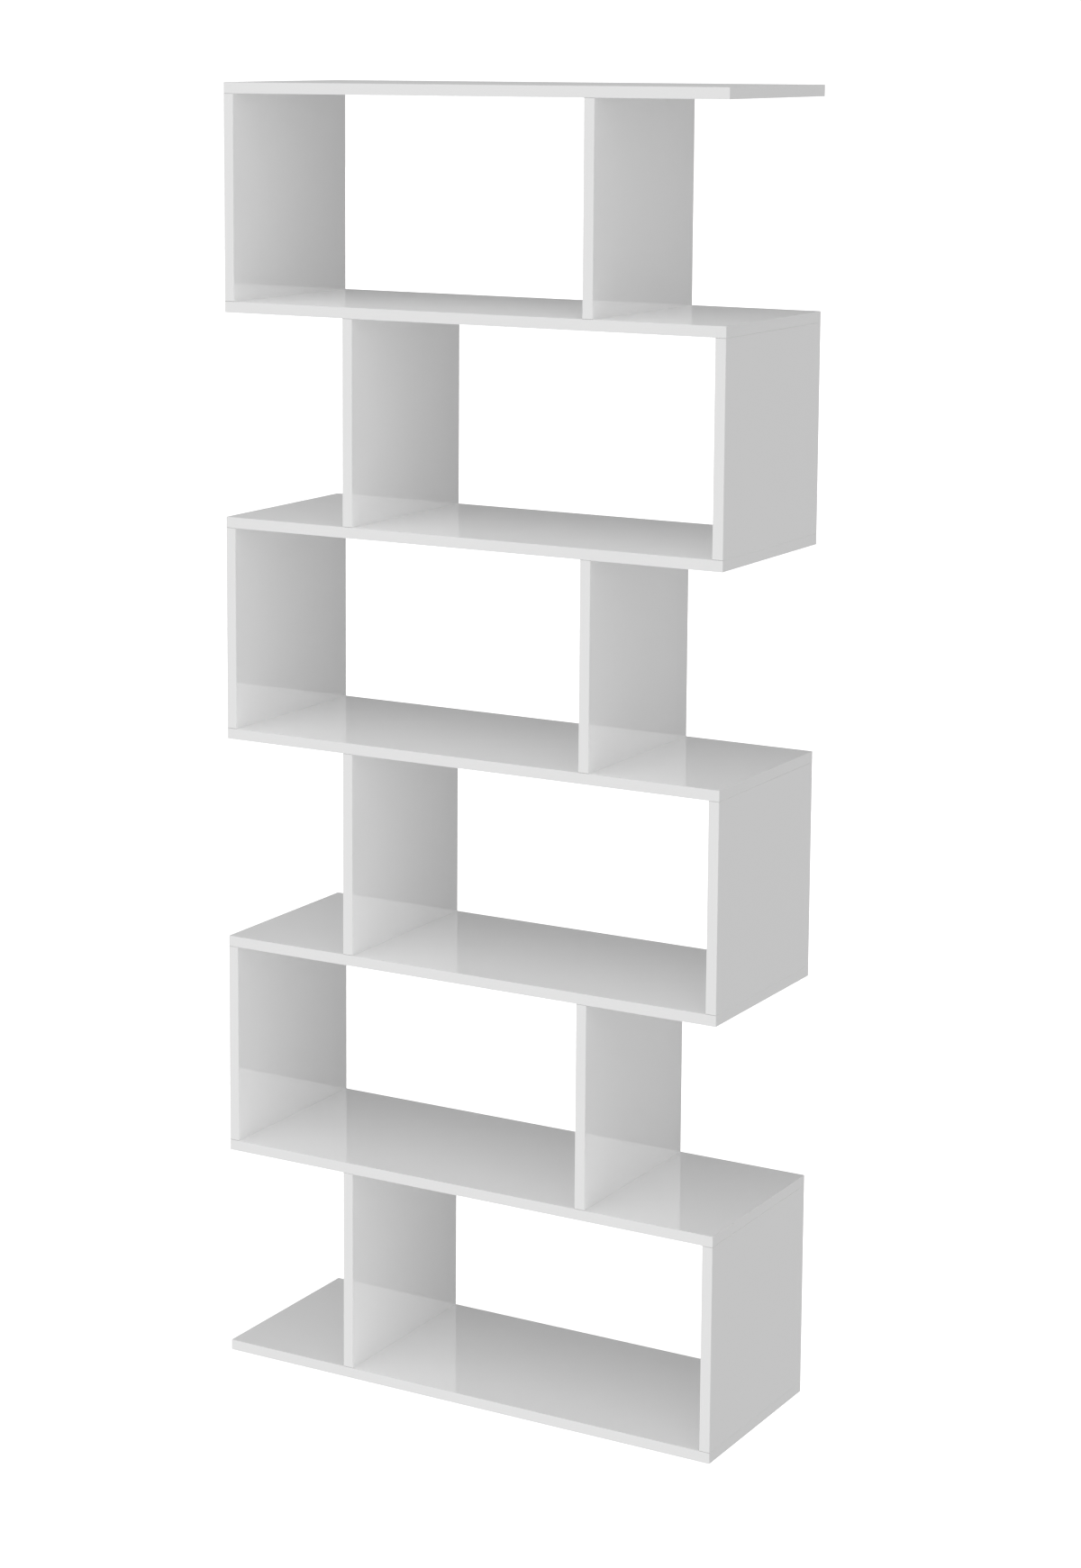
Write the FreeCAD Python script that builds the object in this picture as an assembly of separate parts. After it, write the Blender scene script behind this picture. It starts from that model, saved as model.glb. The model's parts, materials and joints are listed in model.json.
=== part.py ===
import FreeCAD, Part
import math
import os

# Open zigzag bookcase. Millimetres. +Z up, front towards -Y, +X to the right.
# Origin: on the floor, under the middle of the bookcase.

# ---- driving dimensions -------------------------------------------------
WIDTH = 800.0            # full-width boards, along X
DEPTH = 300.0            # boards and uprights, along Y
PANEL = 16.0             # thickness of every board and upright
UPRIGHT = 297.0          # clear height of a tier
TIERS = 6                # tiers of uprights, so one more board than this
OVERHANG = 200.0         # free end of a board beyond its inset upright
GLIDE_H = 6.0            # height of the floor glides

BAND = 1.0               # thickness of the plastic edge bands
BAND_R = 0.8             # rounding of the bands' outer edges

JOINT_Y = 100.0          # cam joints at this distance in front of and behind the middle
DOWEL_Y = 68.0           # dowels, 32 mm inside the cam joints
CAM_BACKSET = 24.0       # cam axis to the end of the upright
CAM_R = 7.4              # cam lock
CAM_BORE_R = 7.5
CAM_BORE_DEPTH = 12.5
CAP_T = 1.0              # cover cap, flush in the mouth of the cam bore
CAP_R = 7.45
BOLT_HOLE_R = 4.0        # channel in the upright's end for the cam bolt
THREAD_LEN = 11.2        # cam bolt's length in the board
DOWEL_R = 4.0
DOWEL_IN_BOARD = 10.0
DOWEL_IN_UPRIGHT = 20.0
DOWEL_SPARE = 1.0        # free depth past the dowel in the upright

GLIDE_R = 12.0
GLIDE_X = (-365.0, 0.0, 365.0)
GLIDE_Y = (-115.0, 115.0)
NAIL_IN_BOARD = 10.0

BRACKET_X = 160.0        # middle of the wall bracket, beside an inset upright
BRACKET_W = 40.0
BRACKET_T = 2.0
BRACKET_DEEP = 28.0      # leg under the top board, along Y
BRACKET_DROP = 30.0      # leg against the wall, along Z
WALL_HOLE_R = 2.75       # clearance hole for a 5 mm wall screw
WALL_HOLE_DROP = 18.0    # below the top board's underside
BRACKET_SCREW_X = 12.0   # screws left and right of the bracket's middle
BRACKET_SCREW_Y = 16.0   # in from the back edge

PITCH = PANEL + UPRIGHT
V = FreeCAD.Vector
os.makedirs("parts", exist_ok=True)


# ---- small helpers ------------------------------------------------------
def box(x0, y0, z0, x1, y1, z1):
    return Part.makeBox(x1 - x0, y1 - y0, z1 - z0, V(x0, y0, z0))


def cyl(r, length, at, direction):
    return Part.makeCylinder(r, length, at, direction)


def turned(profile):
    """Solid of revolution about Z from (radius, z) points that start and end on the axis."""
    pts = [V(r, 0, z) for r, z in profile]
    wire = Part.makePolygon(pts + [pts[0]])
    return Part.Face(wire).revolve(V(0, 0, 0), V(0, 0, 1), 360)


def solid(shape):
    return shape.Solids[0] if len(shape.Solids) == 1 else shape


def placed(shape, x, y, z, upside_down=False):
    s = shape.copy()
    turn = FreeCAD.Rotation(V(1, 0, 0), 180 if upside_down else 0)
    s.Placement = FreeCAD.Placement(V(x, y, z), turn)
    return s


def edges_where(shape, test):
    out = []
    for e in shape.Edges:
        a, b = e.Vertexes[0].Point, e.Vertexes[-1].Point
        if test(a, b):
            out.append(e)
    return out


def near(a, b):
    return abs(a - b) < 1e-6


nodes = {}


def keep(name, shapes):
    shapes = shapes if isinstance(shapes, list) else [shapes]
    nodes[name] = shapes[0] if len(shapes) == 1 else Part.makeCompound(shapes)


# ---- hardware, each modelled once at its own joint ----------------------
# A joint's local frame: z = 0 is the face where upright and board meet, +Z runs
# into the upright, x = 0 is the middle of the upright's thickness.

# Cam bolt: ringed thread in the board, collar on the board's face, shank, neck, head.
thread = [(0.0, -THREAD_LEN), (1.2, -THREAD_LEN), (2.3, -THREAD_LEN + 0.8)]
z = -THREAD_LEN + 0.8
for _ in range(5):
    thread += [(3.1, z + 0.7), (2.3, z + 1.4), (2.3, z + 1.9)]
    z += 1.9
thread += [(2.6, z), (2.6, 0.0)]
bolt_profile = thread + [
    (3.7, 0.0), (3.7, 1.2), (2.9, 1.2), (2.9, 15.4), (1.75, 16.4),
    (1.75, CAM_BACKSET - 3.15), (3.2, CAM_BACKSET - 3.15), (3.2, CAM_BACKSET + 0.4),
    (2.3, CAM_BACKSET + 2.2), (0.0, CAM_BACKSET + 2.2),
]
cam_bolt = turned(bolt_profile)
drive = box(-1.6, -0.45, CAM_BACKSET + 1.0, 1.6, 0.45, CAM_BACKSET + 3.0)
drive = drive.fuse(box(-0.45, -1.6, CAM_BACKSET + 1.0, 0.45, 1.6, CAM_BACKSET + 3.0))
cam_bolt = solid(cam_bolt.cut(drive))

# The threaded hole in the board follows the thread, with a little room past the tip.
thread_hole = turned(
    [(0.0, -THREAD_LEN - 0.4), (1.2, -THREAD_LEN - 0.4)] + thread[1:] + [(0.0, 0.0)]
)

# Cam lock: a drum across the upright, open towards the bolt, hollow for the bolt's head.
cam_top = -PANEL / 2 + CAP_T
cam_bottom = -PANEL / 2 + CAM_BORE_DEPTH
cam = cyl(CAM_R, cam_bottom - cam_top, V(cam_top, 0, CAM_BACKSET), V(1, 0, 0))
hollow = cyl(5.2, 7.2, V(-3.6, 0, CAM_BACKSET + 0.9), V(1, 0, 0))
track = Part.makeCylinder(CAM_R + 1.0, 4.2, V(-2.1, 0, 0), V(1, 0, 0), 175)
first = track.CenterOfMass
track.rotate(V(0, 0, 0), V(1, 0, 0), -math.degrees(math.atan2(first.z, first.y)) - 30)
track.translate(V(0, 0, CAM_BACKSET))
entry_dir = V(0, math.cos(math.radians(60)), math.sin(math.radians(60)))
entry = cyl(3.6, CAM_R + 1.0, V(0, 0, CAM_BACKSET), entry_dir)
cross = box(cam_top - 1, -3.0, CAM_BACKSET - 0.7, cam_top + 2.1, 3.0, CAM_BACKSET + 0.7)
cross = cross.fuse(
    box(cam_top - 1, -0.7, CAM_BACKSET - 3.0, cam_top + 2.1, 0.7, CAM_BACKSET + 3.0)
)
cam = solid(cam.cut([hollow, track, entry, cross]))

# Cover cap: a thin disc with a cross-shaped stub that grips the cam's driver slot.
cap = cyl(CAP_R, CAP_T, V(-PANEL / 2, 0, CAM_BACKSET), V(1, 0, 0))
rim = edges_where(
    cap, lambda a, b: near(a.x, -PANEL / 2) and near(b.x, -PANEL / 2)
)
cap = cap.makeChamfer(0.25, rim)
stub = box(cam_top - 0.1, -2.8, CAM_BACKSET - 0.6, cam_top + 1.6, 2.8, CAM_BACKSET + 0.6)
stub = stub.fuse(
    box(cam_top - 0.1, -0.6, CAM_BACKSET - 2.8, cam_top + 1.6, 0.6, CAM_BACKSET + 2.8)
)
cap = solid(cap.fuse(stub).removeSplitter())

# Fluted wooden dowel with chamfered ends.
dowel = turned([
    (0, -DOWEL_IN_BOARD), (DOWEL_R - 1.0, -DOWEL_IN_BOARD), (DOWEL_R, -DOWEL_IN_BOARD + 1.5),
    (DOWEL_R, DOWEL_IN_UPRIGHT - 1.5), (DOWEL_R - 1.0, DOWEL_IN_UPRIGHT), (0, DOWEL_IN_UPRIGHT),
])
flutes = []
for i in range(10):
    a = 2 * math.pi * i / 10
    at = V((DOWEL_R + 0.15) * math.cos(a), (DOWEL_R + 0.15) * math.sin(a), -DOWEL_IN_BOARD - 1)
    flutes.append(cyl(0.5, DOWEL_IN_BOARD + DOWEL_IN_UPRIGHT + 2, at, V(0, 0, 1)))
dowel = solid(dowel.cut(flutes))

# Holes that the same joint needs.
dowel_hole_board = cyl(DOWEL_R, DOWEL_IN_BOARD, V(0, 0, -DOWEL_IN_BOARD), V(0, 0, 1))
dowel_hole_upright = cyl(DOWEL_R, DOWEL_IN_UPRIGHT + DOWEL_SPARE, V(0, 0, 0), V(0, 0, 1))
bolt_channel = cyl(BOLT_HOLE_R, CAM_BACKSET - 4.0, V(0, 0, 0), V(0, 0, 1))
cam_bore = cyl(CAM_BORE_R, CAM_BORE_DEPTH, V(-PANEL / 2, 0, CAM_BACKSET), V(1, 0, 0))

# Floor glide: a flattened button, with a recess for the head of its nail.
glide = turned([
    (0, 0), (GLIDE_R - 2.2, 0), (GLIDE_R - 1.0, 0.35), (GLIDE_R - 0.3, 1.0), (GLIDE_R, 2.0),
    (GLIDE_R, GLIDE_H - 1.2), (GLIDE_R - 0.8, GLIDE_H), (0, GLIDE_H),
])
nail = turned([
    (0, 1.0), (2.6, 1.0), (2.8, 1.3), (2.8, 2.0), (1.1, 2.0),
    (1.1, GLIDE_H + NAIL_IN_BOARD - 2.2), (0, GLIDE_H + NAIL_IN_BOARD),
])
nail_head_recess = cyl(3.0, 2.0, V(0, 0, 0), V(0, 0, 1))
nail_shank = cyl(1.1, GLIDE_H, V(0, 0, 1), V(0, 0, 1))
glide = solid(glide.cut([nail_head_recess, nail_shank]))

# Wall bracket: a bent steel angle. Local frame: y = 0 the back plane of the bookcase,
# z = 0 the underside of the top board, x = 0 its middle.
leg_board = box(-BRACKET_W / 2, -BRACKET_DEEP, -BRACKET_T, BRACKET_W / 2, 0, 0)
leg_wall = box(-BRACKET_W / 2, -BRACKET_T, -BRACKET_DROP, BRACKET_W / 2, 0, 0)
bracket = leg_board.fuse(leg_wall).removeSplitter()
bend_out = edges_where(
    bracket,
    lambda a, b: near(a.y, 0) and near(b.y, 0) and near(a.z, 0) and near(b.z, 0),
)
bracket = bracket.makeFillet(3.0, bend_out)
bend_in = edges_where(
    bracket,
    lambda a, b: near(a.y, -BRACKET_T) and near(b.y, -BRACKET_T)
    and near(a.z, -BRACKET_T) and near(b.z, -BRACKET_T),
)
bracket = bracket.makeFillet(1.0, bend_in)
corners = edges_where(
    bracket,
    lambda a, b: near(abs(a.x), BRACKET_W / 2) and near(a.x, b.x)
    and (
        (near(a.y, -BRACKET_DEEP) and near(b.y, -BRACKET_DEEP))
        or (near(a.z, -BRACKET_DROP) and near(b.z, -BRACKET_DROP))
    ),
)
bracket = bracket.makeFillet(5.0, corners)
wall_hole = cyl(WALL_HOLE_R, 6, V(0, -4, -WALL_HOLE_DROP), V(0, 1, 0))
board_holes = [
    cyl(2.0, 6, V(s * BRACKET_SCREW_X, -BRACKET_SCREW_Y, -4), V(0, 0, 1)) for s in (-1, 1)
]
bracket = solid(bracket.cut([wall_hole] + board_holes))

# Bracket screw: domed head under the bracket, ringed thread up into the top board.
screw_thread = [(1.75, -BRACKET_T), (1.75, 0.0), (1.25, 0.0)]
z = 0.0
for _ in range(5):
    screw_thread += [(1.25, z + 0.5), (1.75, z + 0.9), (1.25, z + 1.3)]
    z += 1.6
screw_thread += [(1.25, z), (0.0, z + 2.0)]
screw = turned(
    [(0, -BRACKET_T - 2.2), (1.6, -BRACKET_T - 2.1), (2.7, -BRACKET_T - 1.7),
     (3.4, -BRACKET_T - 0.9), (3.5, -BRACKET_T)] + screw_thread
)
screw_drive = box(-1.6, -0.4, -BRACKET_T - 3, 1.6, 0.4, -BRACKET_T - 1.0).fuse(
    box(-0.4, -1.6, -BRACKET_T - 3, 0.4, 1.6, -BRACKET_T - 1.0)
)
screw = solid(screw.cut(screw_drive))
screw_hole = turned([(0.0, 0.0)] + screw_thread[2:])

# ---- layout -------------------------------------------------------------
HALF_W, HALF_D = WIDTH / 2, DEPTH / 2


def board_z(i):
    """Underside of board i, counted from 0 at the floor."""
    return GLIDE_H + i * PITCH


def board_name(i):
    return "bottom_board" if i == 0 else "top_board" if i == TIERS else "shelf_%d" % i


# Uprights: (name, tier, left face). Tiers count from 1 at the floor. In even tiers the
# end upright is on the left, in odd tiers on the right, and the inset one opposite.
uprights = []
for t in range(1, TIERS + 1):
    if t % 2 == 0:
        end_x, inset_x = -HALF_W, HALF_W - OVERHANG - PANEL
    else:
        end_x, inset_x = HALF_W - PANEL, -HALF_W + OVERHANG
    uprights.append(("tier_%d_end_upright" % t, t, end_x))
    uprights.append(("tier_%d_inset_upright" % t, t, inset_x))

cuts_in_board = {i: [] for i in range(TIERS + 1)}
cam_bolts, cams, caps, dowels = [], [], [], []

for name, t, x0 in uprights:
    z0 = board_z(t - 1) + PANEL
    z1 = z0 + UPRIGHT
    xm = x0 + PANEL / 2
    core = box(x0, -HALF_D + BAND, z0, x0 + PANEL, HALF_D - BAND, z1)
    cuts = []
    for z_end, flip, board in ((z0, False, t - 1), (z1, True, t)):
        for s in (-1, 1):
            yc, yd = s * JOINT_Y, s * DOWEL_Y
            cam_bolts.append(placed(cam_bolt, xm, yc, z_end, flip))
            cams.append(placed(cam, xm, yc, z_end, flip))
            caps.append(placed(cap, xm, yc, z_end, flip))
            dowels.append(placed(dowel, xm, yd, z_end, flip))
            cuts += [
                placed(cam_bore, xm, yc, z_end, flip),
                placed(bolt_channel, xm, yc, z_end, flip),
                placed(dowel_hole_upright, xm, yd, z_end, flip),
            ]
            cuts_in_board[board] += [
                placed(thread_hole, xm, yc, z_end, flip),
                placed(dowel_hole_board, xm, yd, z_end, flip),
            ]
    keep(name, solid(core.cut(cuts)))

    # Bands on the front and back edges, rounded along the two outer edges.
    bands = []
    for y_in, y_out in ((-HALF_D + BAND, -HALF_D), (HALF_D - BAND, HALF_D)):
        b = box(x0, min(y_in, y_out), z0, x0 + PANEL, max(y_in, y_out), z1)
        long_edges = edges_where(
            b, lambda p, q: near(p.y, y_out) and near(q.y, y_out) and near(p.x, q.x)
        )
        bands.append(b.makeFillet(BAND_R, long_edges))
    keep(name + "_edge_bands", [solid(b) for b in bands])

# Pilot holes for the glides' nails in the bottom board's underside.
glides, nails = [], []
nail_hole = turned([
    (0, GLIDE_H), (1.1, GLIDE_H), (1.1, GLIDE_H + NAIL_IN_BOARD - 2.2), (0, GLIDE_H + NAIL_IN_BOARD),
])
for gx in GLIDE_X:
    for gy in GLIDE_Y:
        glides.append(placed(glide, gx, gy, 0))
        nails.append(placed(nail, gx, gy, 0))
        cuts_in_board[0].append(placed(nail_hole, gx, gy, 0))

# Wall bracket and its screws under the top board, at the back edge.
bracket_at = (BRACKET_X, HALF_D, board_z(TIERS))
keep("wall_bracket", placed(bracket, *bracket_at))
screws = []
for s in (-1, 1):
    at = (BRACKET_X + s * BRACKET_SCREW_X, HALF_D - BRACKET_SCREW_Y, board_z(TIERS))
    screws.append(placed(screw, *at))
    cuts_in_board[TIERS].append(placed(screw_hole, *at))
keep("wall_bracket_screws", screws)

for i in range(TIERS + 1):
    za, zb = board_z(i), board_z(i) + PANEL
    core = box(-HALF_W + BAND, -HALF_D + BAND, za, HALF_W - BAND, HALF_D - BAND, zb)
    keep(board_name(i), solid(core.cut(cuts_in_board[i])))

    # End bands first, between the long bands; front and back bands run the full width.
    bands = []
    for x_in, x_out in ((-HALF_W + BAND, -HALF_W), (HALF_W - BAND, HALF_W)):
        b = box(min(x_in, x_out), -HALF_D + BAND, za, max(x_in, x_out), HALF_D - BAND, zb)
        e = edges_where(
            b, lambda p, q: near(p.x, x_out) and near(q.x, x_out) and near(p.z, q.z)
        )
        bands.append(b.makeFillet(BAND_R, e))
    for y_in, y_out in ((-HALF_D + BAND, -HALF_D), (HALF_D - BAND, HALF_D)):
        b = box(-HALF_W, min(y_in, y_out), za, HALF_W, max(y_in, y_out), zb)
        e = edges_where(
            b,
            lambda p, q: (near(p.y, y_out) and near(q.y, y_out))
            or (near(p.x, q.x) and near(p.z, q.z)),
        )
        bands.append(b.makeFillet(BAND_R, e))
    keep(board_name(i) + "_edge_bands", [solid(b) for b in bands])

keep("cam_bolts", cam_bolts)
keep("cam_locks", cams)
keep("cam_cover_caps", caps)
keep("dowels", dowels)
keep("floor_glides", glides)
keep("glide_nails", nails)

for name, shape in nodes.items():
    if not shape.isValid():
        print("not valid:", name)
    shape.exportStep("parts/%s.step" % name)

whole = Part.makeCompound(list(nodes.values())).BoundBox
print("%d nodes, %d solids" % (len(nodes), sum(len(s.Solids) for s in nodes.values())))
print("box %.2f..%.2f  %.2f..%.2f  %.2f..%.2f" % (
    whole.XMin, whole.XMax, whole.YMin, whole.YMax, whole.ZMin, whole.ZMax))
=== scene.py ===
"""Looks of the zigzag bookcase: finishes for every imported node, a pale floor, soft studio light and the camera.

Everything is in metres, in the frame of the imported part: +Z up, +X to the right along the shelves, +Y to the back.
"""

import json
import math

import bpy
from mathutils import Matrix, Vector

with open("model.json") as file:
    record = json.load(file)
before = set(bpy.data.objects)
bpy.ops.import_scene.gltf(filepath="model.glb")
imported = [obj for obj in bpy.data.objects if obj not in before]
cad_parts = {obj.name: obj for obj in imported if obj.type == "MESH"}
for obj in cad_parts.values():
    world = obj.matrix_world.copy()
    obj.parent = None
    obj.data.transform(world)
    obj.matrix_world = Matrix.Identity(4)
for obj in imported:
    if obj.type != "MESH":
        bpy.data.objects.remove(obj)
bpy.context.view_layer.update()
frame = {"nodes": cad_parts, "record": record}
nodes = frame["nodes"]
scene = bpy.context.scene

# ------------------------------------------------------------------ material helpers


def new_material(name):
    mat = bpy.data.materials.new(name)
    mat.use_nodes = True
    tree = mat.node_tree
    tree.nodes.clear()
    out = tree.nodes.new("ShaderNodeOutputMaterial")
    bsdf = tree.nodes.new("ShaderNodeBsdfPrincipled")
    tree.links.new(bsdf.outputs["BSDF"], out.inputs["Surface"])
    coords = tree.nodes.new("ShaderNodeTexCoord")
    return mat, tree, bsdf, coords.outputs["Object"]


def scaled(tree, vector, xyz):
    node = tree.nodes.new("ShaderNodeMapping")
    node.inputs["Scale"].default_value = xyz
    tree.links.new(vector, node.inputs["Vector"])
    return node.outputs["Vector"]


def noise(tree, vector, scale, detail=3.0, rough=0.5, distortion=0.0):
    node = tree.nodes.new("ShaderNodeTexNoise")
    node.inputs["Scale"].default_value = scale
    node.inputs["Detail"].default_value = detail
    node.inputs["Roughness"].default_value = rough
    node.inputs["Distortion"].default_value = distortion
    tree.links.new(vector, node.inputs["Vector"])
    return node.outputs["Fac"]


def spread(tree, value, low, high, from_low=0.3, from_high=0.7):
    node = tree.nodes.new("ShaderNodeMapRange")
    node.inputs["From Min"].default_value = from_low
    node.inputs["From Max"].default_value = from_high
    node.inputs["To Min"].default_value = low
    node.inputs["To Max"].default_value = high
    tree.links.new(value, node.inputs["Value"])
    return node.outputs["Result"]


def ramp(tree, value, stops):
    node = tree.nodes.new("ShaderNodeValToRGB")
    elements = node.color_ramp.elements
    while len(elements) < len(stops):
        elements.new(0.5)
    for element, (at, colour) in zip(elements, stops):
        element.position = at
        element.color = (*colour, 1.0)
    tree.links.new(value, node.inputs["Fac"])
    return node.outputs["Color"]


def add(tree, a, b, weight=1.0):
    node = tree.nodes.new("ShaderNodeMath")
    node.operation = "MULTIPLY_ADD"
    node.inputs[1].default_value = weight
    tree.links.new(b, node.inputs[0])
    tree.links.new(a, node.inputs[2])
    return node.outputs["Value"]


def bump(tree, bsdf, height, strength, distance):
    node = tree.nodes.new("ShaderNodeBump")
    node.inputs["Strength"].default_value = strength
    node.inputs["Distance"].default_value = distance
    tree.links.new(height, node.inputs["Height"])
    tree.links.new(node.outputs["Normal"], bsdf.inputs["Normal"])


def grey(level, warm=0.0):
    return (level * (1.0 + warm), level, level * (1.0 - warm))


# ------------------------------------------------------------------ materials

BOARD_Z, BOARD, TIER, HALF_WIDTH = 0.006, 0.016, 0.313, 0.400  # underside of the lowest board, board, pitch, half width


def gloss_white_panel():
    """High-gloss white face: a mirror-like film, with the faint long ripple such a film shows."""
    mat, tree, bsdf, at = new_material("gloss_white_panel")
    cloud = noise(tree, at, 2.2, 2.0)
    tree.links.new(ramp(tree, cloud, [(0.25, grey(0.964)), (0.75, grey(0.976))]), bsdf.inputs["Base Color"])
    wipe = noise(tree, scaled(tree, at, (3.0, 1.2, 3.0)), 6.0, 4.0, 0.6)
    tree.links.new(spread(tree, wipe, 0.020, 0.045), bsdf.inputs["Roughness"])
    bsdf.inputs["Metallic"].default_value = 0.18
    bsdf.inputs["Specular IOR Level"].default_value = 0.0
    ripple = noise(tree, at, 130.0, 1.0)
    long_ripple = noise(tree, at, 14.0, 1.0)
    bump(tree, bsdf, add(tree, ripple, long_ripple, 6.0), 0.02, 0.00025)
    return mat


def calc(tree, operation, *values):
    node = tree.nodes.new("ShaderNodeMath")
    node.operation = operation
    for socket, value in zip(node.inputs, values):
        if isinstance(value, (int, float)):
            socket.default_value = value
        else:
            tree.links.new(value, socket)
    return node.outputs["Value"]


def white_edge_band():
    """Gloss plastic strip: a little softer than the faces, with the drawn lines of an extruded strip.

    Where an upright's strip ends on a board, a dark hairline of painted shade stands for the shadow in the joint gap.
    The strips on the boards' short ends are lightened a little with painted light, to the tone of the faces beside
    them.
    """
    mat, tree, bsdf, at = new_material("white_edge_band")
    cloud = noise(tree, at, 5.0, 2.0)
    tone = ramp(tree, cloud, [(0.25, grey(0.936)), (0.75, grey(0.950))])
    xyz = tree.nodes.new("ShaderNodeSeparateXYZ")
    tree.links.new(at, xyz.inputs["Vector"])
    in_tier = calc(tree, "MODULO", calc(tree, "SUBTRACT", xyz.outputs["Z"], BOARD_Z), TIER)
    # painted shade: a dark hairline at the foot and the head of each upright's strip, standing for the shadow in the
    # joint gap
    foot_gap_shade = calc(tree, "COMPARE", in_tier, BOARD + 0.00025, 0.00020)
    head_gap_shade = calc(tree, "COMPARE", in_tier, TIER - 0.00018, 0.000125)
    # painted light: the strips on the boards' short ends are lightened to the lit tone of the side faces beside them
    short_end_painted_light = calc(tree, "GREATER_THAN", calc(tree, "ABSOLUTE", xyz.outputs["X"]), HALF_WIDTH - 0.00095)
    short_end_painted_light = calc(tree, "MULTIPLY", short_end_painted_light, calc(tree, "LESS_THAN", in_tier, BOARD + 0.00002))
    share = calc(tree, "MULTIPLY_ADD", calc(tree, "ADD", foot_gap_shade, head_gap_shade), -0.74, 1.0)
    share = calc(tree, "MULTIPLY_ADD", short_end_painted_light, 0.025, share)
    node = tree.nodes.new("ShaderNodeVectorMath")
    node.operation = "SCALE"
    tree.links.new(tone, node.inputs["Vector"])
    tree.links.new(share, node.inputs["Scale"])
    tree.links.new(node.outputs["Vector"], bsdf.inputs["Base Color"])
    wipe = noise(tree, at, 22.0, 3.0)
    tree.links.new(spread(tree, wipe, 0.10, 0.16), bsdf.inputs["Roughness"])
    bsdf.inputs["Metallic"].default_value = 0.18
    bsdf.inputs["Specular IOR Level"].default_value = 0.0
    bump(tree, bsdf, noise(tree, at, 260.0, 1.0), 0.05, 0.0002)
    return mat


def plated_steel():
    mat, tree, bsdf, at = new_material("plated_steel")
    cloud = noise(tree, at, 180.0, 3.0)
    tree.links.new(ramp(tree, cloud, [(0.3, (0.56, 0.57, 0.59)), (0.7, (0.70, 0.70, 0.70))]), bsdf.inputs["Base Color"])
    bsdf.inputs["Metallic"].default_value = 1.0
    streaks = noise(tree, scaled(tree, at, (1.0, 1.0, 0.12)), 900.0, 2.0)
    tree.links.new(spread(tree, streaks, 0.20, 0.38), bsdf.inputs["Roughness"])
    bump(tree, bsdf, streaks, 0.15, 0.0001)
    return mat


def cast_zinc():
    mat, tree, bsdf, at = new_material("cast_zinc")
    cloud = noise(tree, at, 260.0, 4.0)
    tree.links.new(ramp(tree, cloud, [(0.3, (0.40, 0.41, 0.42)), (0.7, (0.56, 0.56, 0.57))]), bsdf.inputs["Base Color"])
    bsdf.inputs["Metallic"].default_value = 1.0
    grain = noise(tree, at, 1400.0, 2.0)
    tree.links.new(spread(tree, grain, 0.42, 0.60), bsdf.inputs["Roughness"])
    bump(tree, bsdf, grain, 0.3, 0.0001)
    return mat


def white_cap():
    mat, tree, bsdf, at = new_material("white_cap")
    cloud = noise(tree, at, 40.0, 2.0)
    tree.links.new(ramp(tree, cloud, [(0.25, grey(0.690)), (0.75, grey(0.715))]), bsdf.inputs["Base Color"])
    grain = noise(tree, at, 1500.0, 2.0)
    tree.links.new(spread(tree, grain, 0.30, 0.42), bsdf.inputs["Roughness"])
    bsdf.inputs["IOR"].default_value = 1.46
    bump(tree, bsdf, grain, 0.12, 0.0001)
    return mat


def beech():
    mat, tree, bsdf, at = new_material("beech")
    fibre = noise(tree, scaled(tree, at, (1.0, 1.0, 0.06)), 700.0, 4.0, 0.6, 0.3)
    tree.links.new(
        ramp(tree, fibre, [(0.25, (0.42, 0.25, 0.12)), (0.5, (0.58, 0.38, 0.21)), (0.75, (0.68, 0.48, 0.29))]),
        bsdf.inputs["Base Color"],
    )
    tree.links.new(spread(tree, fibre, 0.72, 0.55), bsdf.inputs["Roughness"])
    bump(tree, bsdf, fibre, 0.3, 0.0002)
    return mat


def glide_plastic():
    mat, tree, bsdf, at = new_material("glide_plastic")
    cloud = noise(tree, at, 90.0, 3.0)
    tree.links.new(ramp(tree, cloud, [(0.3, grey(0.70, 0.01)), (0.7, grey(0.76, 0.01))]), bsdf.inputs["Base Color"])
    scuff = noise(tree, scaled(tree, at, (1.0, 0.25, 1.0)), 800.0, 3.0)
    tree.links.new(spread(tree, scuff, 0.36, 0.55), bsdf.inputs["Roughness"])
    bsdf.inputs["IOR"].default_value = 1.5
    bump(tree, bsdf, scuff, 0.2, 0.0001)
    return mat


def bracket_paint():
    mat, tree, bsdf, at = new_material("bracket_paint")
    peel = noise(tree, at, 900.0, 2.0)
    cloud = noise(tree, at, 30.0, 2.0)
    tree.links.new(ramp(tree, cloud, [(0.25, grey(0.76)), (0.75, grey(0.79))]), bsdf.inputs["Base Color"])
    tree.links.new(spread(tree, peel, 0.30, 0.42), bsdf.inputs["Roughness"])
    bump(tree, bsdf, peel, 0.35, 0.00015)
    return mat


MATERIALS = {
    make.__name__: make()
    for make in (
        gloss_white_panel,
        white_edge_band,
        plated_steel,
        cast_zinc,
        white_cap,
        beech,
        glide_plastic,
        bracket_paint,
    )
}
for part in frame["record"]["subparts"]:
    node = nodes[part["node"]]
    for s in node.material_slots:
        s.material = MATERIALS[part["material_slot"]]

# ------------------------------------------------------------------ floor

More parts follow.
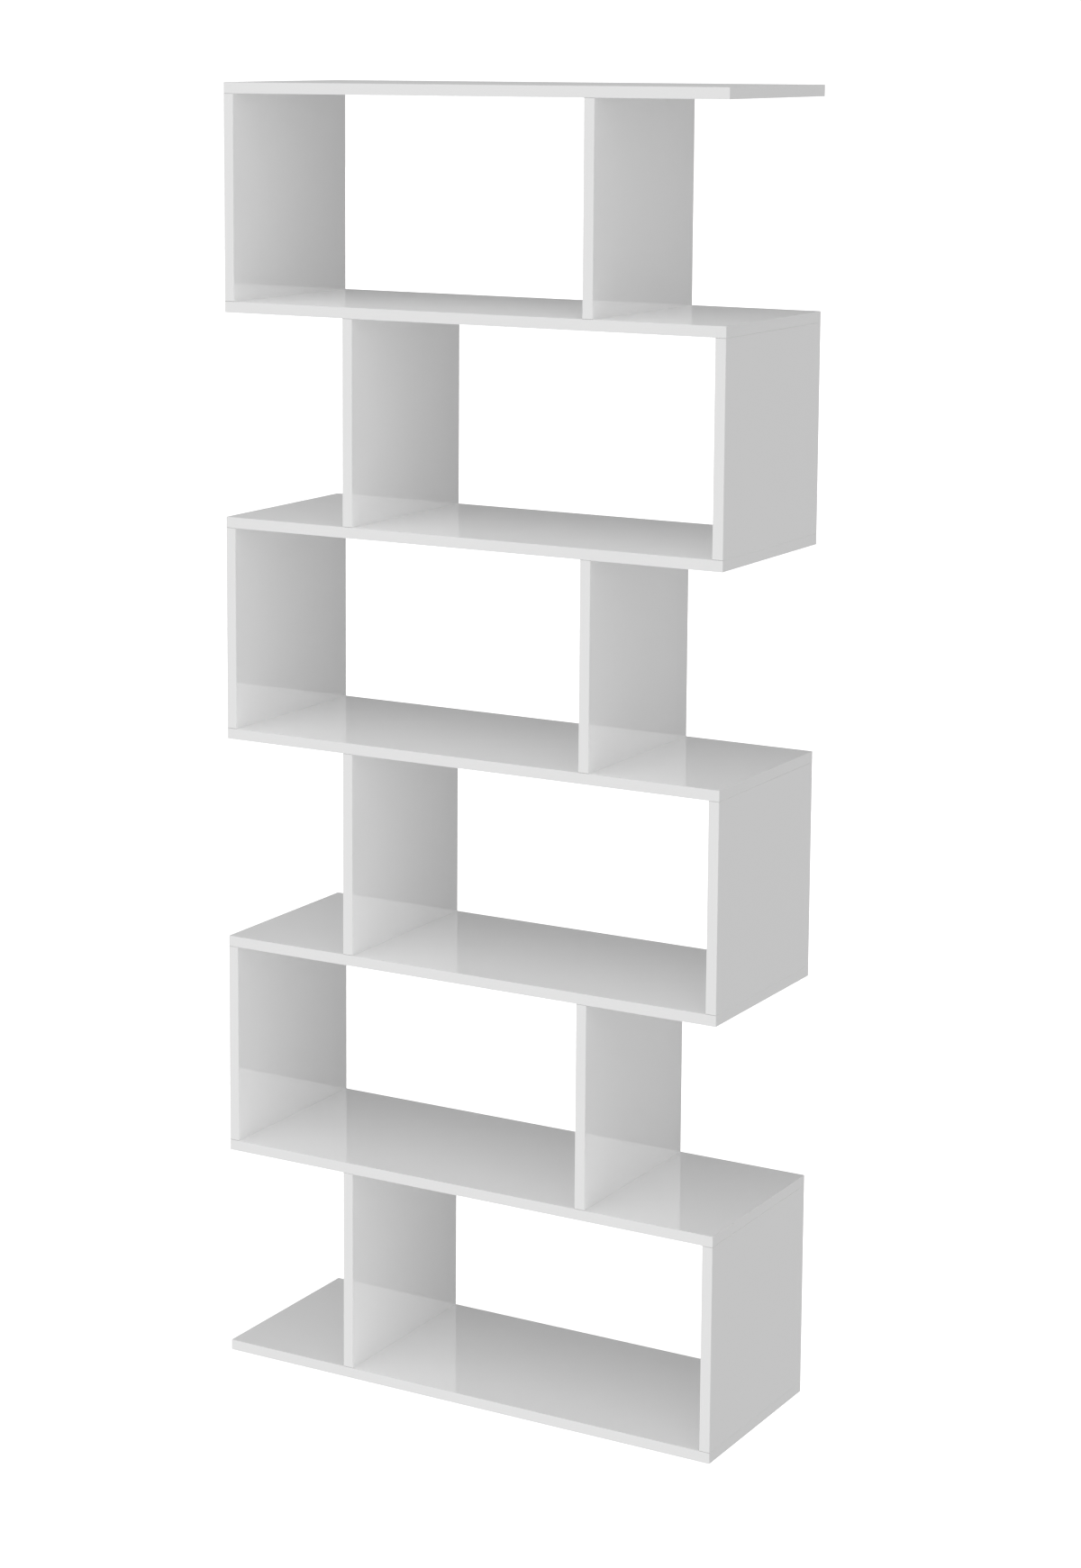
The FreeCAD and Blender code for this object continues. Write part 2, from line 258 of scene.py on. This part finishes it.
floor_mesh = bpy.data.meshes.new("studio_floor")
R = 40.0
floor_mesh.from_pydata([(-R, -R, 0), (R, -R, 0), (R, R, 0), (-R, R, 0)], [], [(0, 1, 2, 3)])
floor = bpy.data.objects.new("studio_floor", floor_mesh)
scene.collection.objects.link(floor)
floor_mat, tree, bsdf, _ = new_material("studio_floor")
bsdf.inputs["Base Color"].default_value = (0.5, 0.5, 0.5, 1)
bsdf.inputs["Roughness"].default_value = 1.0
bsdf.inputs["Specular IOR Level"].default_value = 0.0
bsdf.inputs["Emission Color"].default_value = (1, 1, 1, 1)
bsdf.inputs["Emission Strength"].default_value = 1.0
floor_mesh.materials.append(floor_mat)
floor.visible_diffuse = False
floor.visible_glossy = False
floor.visible_shadow = False

# ------------------------------------------------------------------ light: a soft studio dome, brightest in front
# The whole front half is even. Each further light is a smooth half of the dome: where it hangs, seen from the object,
# and its level. The gloss faces mirror the object's own panels, and dark surroundings.

FRONT_HALF = 0.912
LIGHTS = [
    ((0.0, 1.0, 0.0), 0.645),  # fill from behind
    ((1.0, 0.0, 0.0), 0.099),  # right
    ((-1.0, 0.0, 0.0), 0.124),  # left
    ((0.0, 0.0, 1.0), 0.040),  # above
    ((0.0, 0.0, -1.0), 0.106),  # light thrown back up by the floor
]
MIRRORED = 0.013  # level of the surroundings in the gloss

world = bpy.data.worlds.new("studio")
scene.world = world
world.use_nodes = True
tree = world.node_tree
tree.nodes.clear()
out = tree.nodes.new("ShaderNodeOutputWorld")
direction = tree.nodes.new("ShaderNodeTexCoord").outputs["Generated"]


def w_math(operation, a, b):
    node = tree.nodes.new("ShaderNodeMath")
    node.operation = operation
    for socket, value in zip(node.inputs, (a, b)):
        if isinstance(value, (int, float)):
            socket.default_value = value
        else:
            tree.links.new(value, socket)
    return node.outputs["Value"]


def facing(towards):
    node = tree.nodes.new("ShaderNodeVectorMath")
    node.operation = "DOT_PRODUCT"
    node.inputs[1].default_value = Vector(towards).normalized()
    tree.links.new(direction, node.inputs[0])
    return node.outputs["Value"]


half = tree.nodes.new("ShaderNodeMapRange")
half.interpolation_type = "SMOOTHSTEP"
half.inputs["From Min"].default_value = -0.3
half.inputs["From Max"].default_value = 0.3
tree.links.new(facing((0.0, -1.0, 0.0)), half.inputs["Value"])
level = w_math("MULTIPLY", half.outputs["Result"], FRONT_HALF)
for towards, strength in LIGHTS:
    level = w_math("ADD", level, w_math("MULTIPLY", w_math("MAXIMUM", facing(towards), 0.0), strength))


def surroundings(strength):
    node = tree.nodes.new("ShaderNodeBackground")
    node.inputs["Color"].default_value = (1, 1, 1, 1)
    if isinstance(strength, (int, float)):
        node.inputs["Strength"].default_value = strength
    else:
        tree.links.new(strength, node.inputs["Strength"])
    return node.outputs["Background"]


def switch(which, first, second):
    node = tree.nodes.new("ShaderNodeMixShader")
    tree.links.new(which, node.inputs["Fac"])
    tree.links.new(first, node.inputs[1])
    tree.links.new(second, node.inputs[2])
    return node.outputs["Shader"]


ray = tree.nodes.new("ShaderNodeLightPath").outputs
seen = switch(ray["Is Glossy Ray"], surroundings(level), surroundings(MIRRORED))
seen = switch(ray["Is Camera Ray"], seen, surroundings(1.15))  # plain white backdrop
tree.links.new(seen, out.inputs["Surface"])

scene.view_settings.view_transform = "Standard"
scene.view_settings.look = "None"

# ------------------------------------------------------------------ camera

FOCAL_PX, LONG_SIDE_PX = 3752.99, 1741.0
AZIMUTH, PITCH, ROLL = 0.54164, 0.14532, 0.00202
camera_data = bpy.data.cameras.new("photo_camera")
camera_data.sensor_fit = "AUTO"
camera_data.sensor_width = 36.0
camera_data.lens = FOCAL_PX * 36.0 / LONG_SIDE_PX
camera_data.shift_x = 0.0750
camera_data.shift_y = -0.1600
camera_data.clip_start, camera_data.clip_end = 0.05, 200.0
camera = bpy.data.objects.new("photo_camera", camera_data)
scene.collection.objects.link(camera)
back = Vector((math.sin(AZIMUTH) * math.cos(PITCH), -math.cos(AZIMUTH) * math.cos(PITCH), math.sin(PITCH)))
right = (-back).cross(Vector((0, 0, 1))).normalized()
up = right.cross(-back)
r2 = right * math.cos(ROLL) + up * math.sin(ROLL)
u2 = up * math.cos(ROLL) - right * math.sin(ROLL)
turn = Matrix((r2, u2, back)).transposed()
camera.matrix_world = Matrix.Translation((2.35234, -4.17008, 1.96200)) @ turn.to_4x4()
scene.camera = camera
